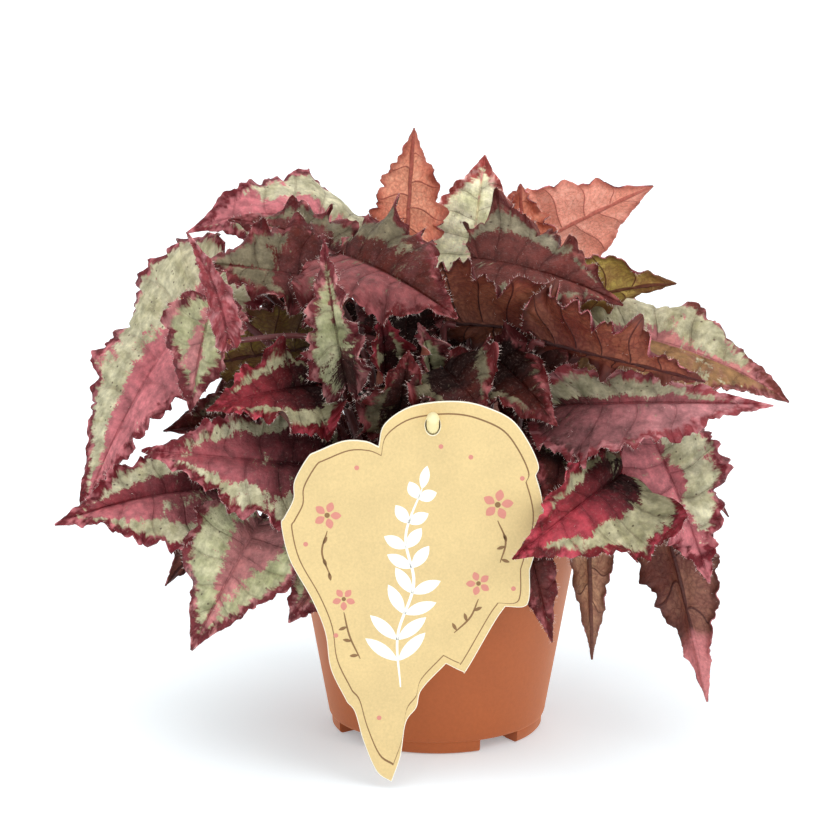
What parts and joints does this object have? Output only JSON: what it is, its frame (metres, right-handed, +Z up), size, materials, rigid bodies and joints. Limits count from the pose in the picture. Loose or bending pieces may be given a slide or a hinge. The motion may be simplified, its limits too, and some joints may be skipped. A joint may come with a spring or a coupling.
{
  "type": "potted begonia",
  "caption": "Bushy rex begonia with pointed, serrated, red and silver leaves in a terracotta-coloured nursery pot, with a leaf-shaped card tag on a stake.",
  "frame": {"origin": "on the ground, under the middle of the whole plant's bounding box; the pot's axis stands 3.9 mm to +X and 9.0 mm to -Y of it", "axes": "+Z up, the front of the plant with its card tag looks to -Y, +X to the right in the front view"},
  "size_m": [0.281, 0.2078, 0.2351],
  "materials": {
    "pot_plastic": "satin",
    "potting_soil": "matte",
    "kraft_card": "matte",
    "stake_plastic": "satin",
    "leaf": "satin"
  },
  "bodies": {
    "root": {"pot": "pot_plastic", "soil": "potting_soil", "tag_card": "kraft_card", "tag_stake": "stake_plastic", "leaf_far_left": "leaf", "leaf_left_lowest": "leaf", "leaf_left_middle": "leaf", "leaf_left_dark": "leaf", "leaf_left_hanging": "leaf", "leaf_behind_card_left": "leaf", "leaf_left_under": "leaf", "leaf_left_spike": "leaf", "leaf_left_small_green": "leaf", "leaf_left_arching": "leaf", "leaf_left_frilled": "leaf", "leaf_left_flat": "leaf", "leaf_left_olive": "leaf", "leaf_left_crimson": "leaf", "leaf_green_upright": "leaf", "leaf_centre_frill": "leaf", "leaf_centre_large": "leaf", "leaf_top_spike": "leaf", "leaf_top_green": "leaf", "leaf_top_brown": "leaf", "leaf_top_right": "leaf", "leaf_right_silver": "leaf", "leaf_right_olive": "leaf", "leaf_right_veined": "leaf", "leaf_right_long": "leaf", "leaf_far_right": "leaf", "leaf_right_pink": "leaf", "leaf_right_red": "leaf", "leaf_right_hanging": "leaf", "leaf_right_lowest": "leaf", "leaf_right_narrow": "leaf", "leaf_front_dark": "leaf", "leaf_centre_dark": "leaf", "leaf_centre_low": "leaf", "leaf_young_red": "leaf", "leaf_young_pale": "leaf", "leaf_inner_middle": "leaf", "leaf_inner_right": "leaf", "leaf_back_right_low": "leaf", "leaf_back_low": "leaf", "leaf_back_left_low": "leaf", "leaf_side_left_low": "leaf", "leaf_side_right_low": "leaf", "leaf_back_right_high": "leaf", "leaf_back_high": "leaf", "leaf_back_left_high": "leaf", "leaf_crown_back": "leaf", "leaf_right_shadow": "leaf", "leaf_left_inner": "leaf", "leaf_inner_left": "leaf", "leaf_inner_centre": "leaf", "leaf_inner_low": "leaf"}
  },
  "joints": []
}
